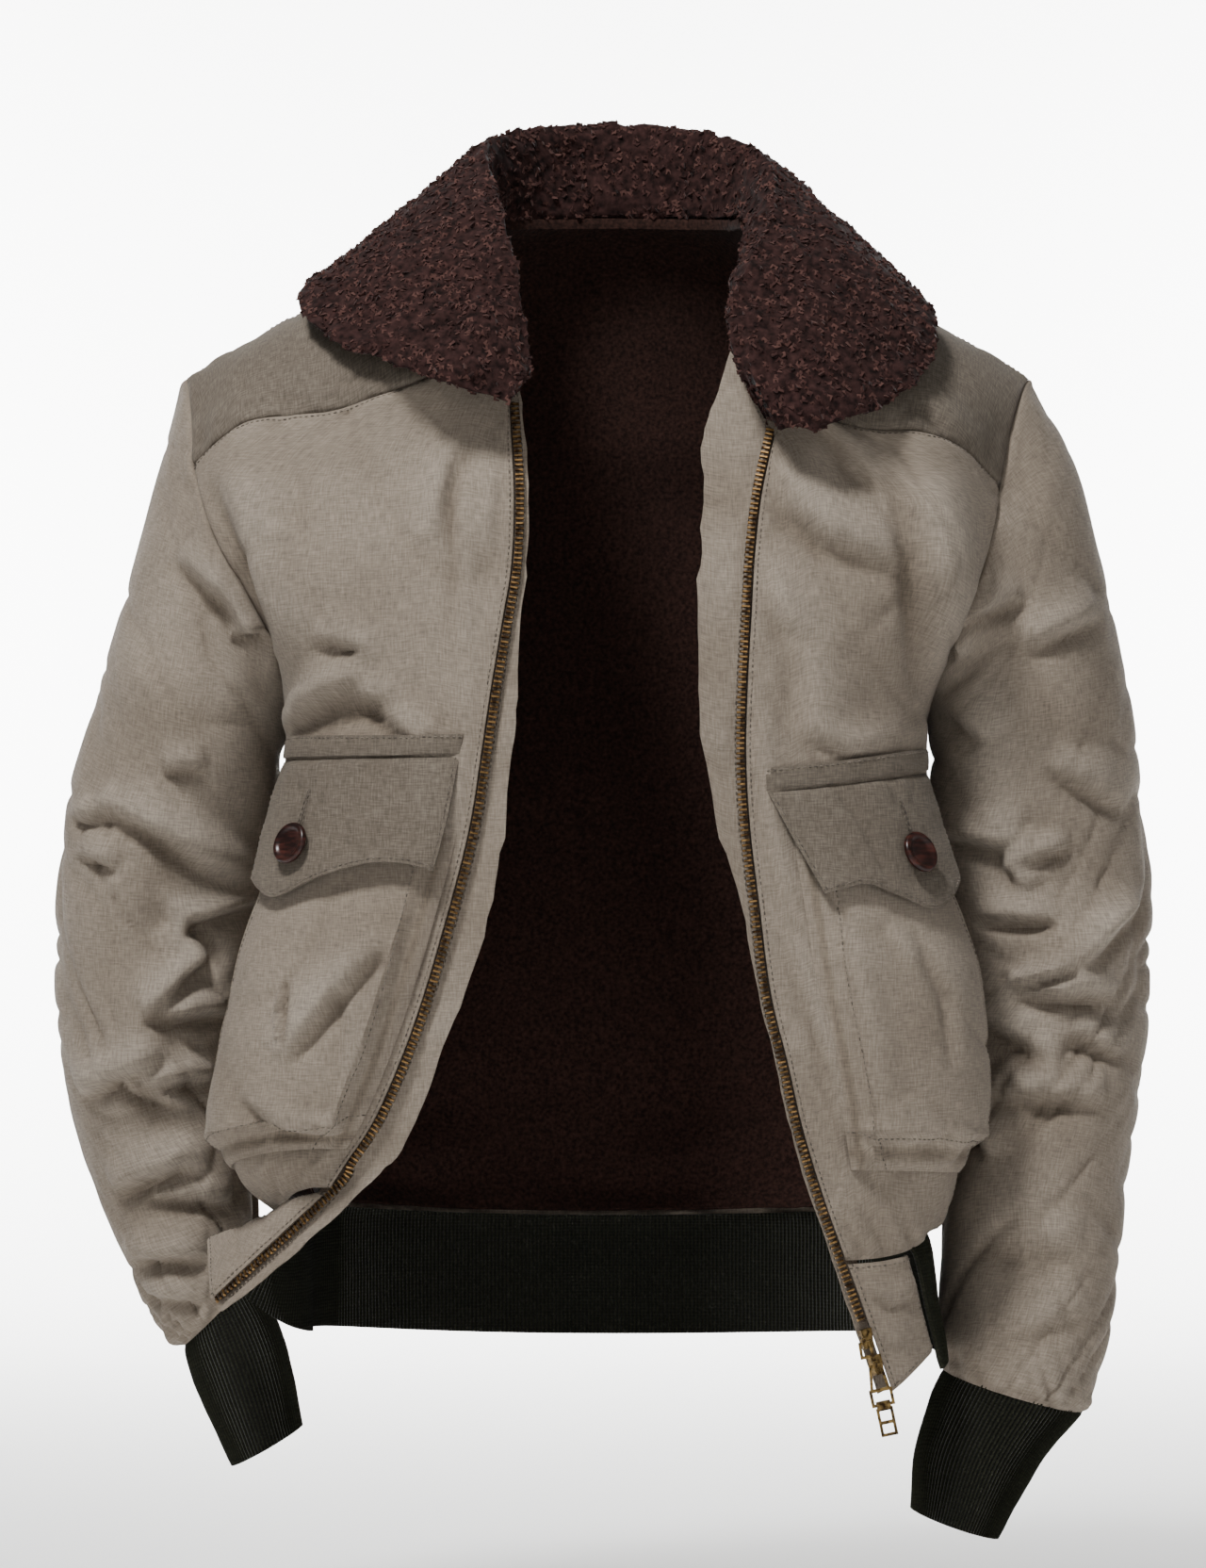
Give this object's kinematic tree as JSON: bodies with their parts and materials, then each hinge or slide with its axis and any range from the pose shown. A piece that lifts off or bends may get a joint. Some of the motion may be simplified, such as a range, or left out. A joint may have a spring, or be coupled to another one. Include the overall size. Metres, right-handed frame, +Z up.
{
  "type": "flight jacket",
  "caption": "Waist-length flight jacket worn open and empty: cotton shell, curly fur collar, knit cuffs and waistband, flap pockets and a metal front zip.",
  "frame": {"origin": "middle of the neck opening, level with the neck end of the shoulder seams", "axes": "+X to the wearer's left, +Y to the wearer's back, +Z up"},
  "size_m": [0.6092, 0.2715, 0.7813],
  "materials": {
    "cloth": "washed slubby cotton, matt",
    "dark_cloth": "washed slubby cotton, matt",
    "knit": "wool rib knit",
    "fur": "curly shearling",
    "pile": "short pile",
    "horn": "polished",
    "zip": "aged brass teeth on a woven tape",
    "brass": "dark aged brass"
  },
  "bodies": {
    "jacket": {"back": "cloth", "button_left": "horn", "button_right": "horn", "collar": "fur", "cuff_left": "knit", "cuff_right": "knit", "facing_left": "cloth", "facing_right": "cloth", "flap_left": "dark_cloth", "flap_right": "dark_cloth", "front_left": "cloth", "front_right": "cloth", "lining_back": "pile", "lining_front_left": "pile", "lining_front_right": "pile", "pocket_left": "cloth", "pocket_right": "cloth", "sleeve_left": "cloth", "sleeve_right": "cloth", "slider_lower": "brass", "slider_upper": "brass", "tab_left": "cloth", "tab_right": "cloth", "waistband": "knit", "welt_left": "dark_cloth", "welt_right": "dark_cloth", "yoke_back": "dark_cloth", "yoke_front_left": "dark_cloth", "yoke_front_right": "dark_cloth", "zip_tape_left": "zip", "zip_tape_right": "zip"},
    "short_pull": {"pull_short": "brass"},
    "pull_link_body": {"pull_link": "brass"},
    "pull_tab_body": {"pull_tab": "brass"}
  },
  "joints": [
    {"name": "short_pull_hinge", "type": "hinge", "parent": "jacket", "child": "short_pull", "pos_m": [0.1355, -0.1306, -0.603], "axis": [-0.9781, 0, -0.2079], "range_deg": [0, 150]},
    {"name": "pull_link_hinge", "type": "hinge", "parent": "jacket", "child": "pull_link_body", "pos_m": [0.1412, -0.1302, -0.615], "axis": [-0.9781, 0, -0.2079], "range_deg": [0, 110]},
    {"name": "pull_tab_hinge", "type": "hinge", "parent": "pull_link_body", "child": "pull_tab_body", "pos_m": [0.14552, -0.1302, -0.63535], "axis": [-0.9781, 0, -0.2079], "range_deg": [-60, 90]}
  ]
}
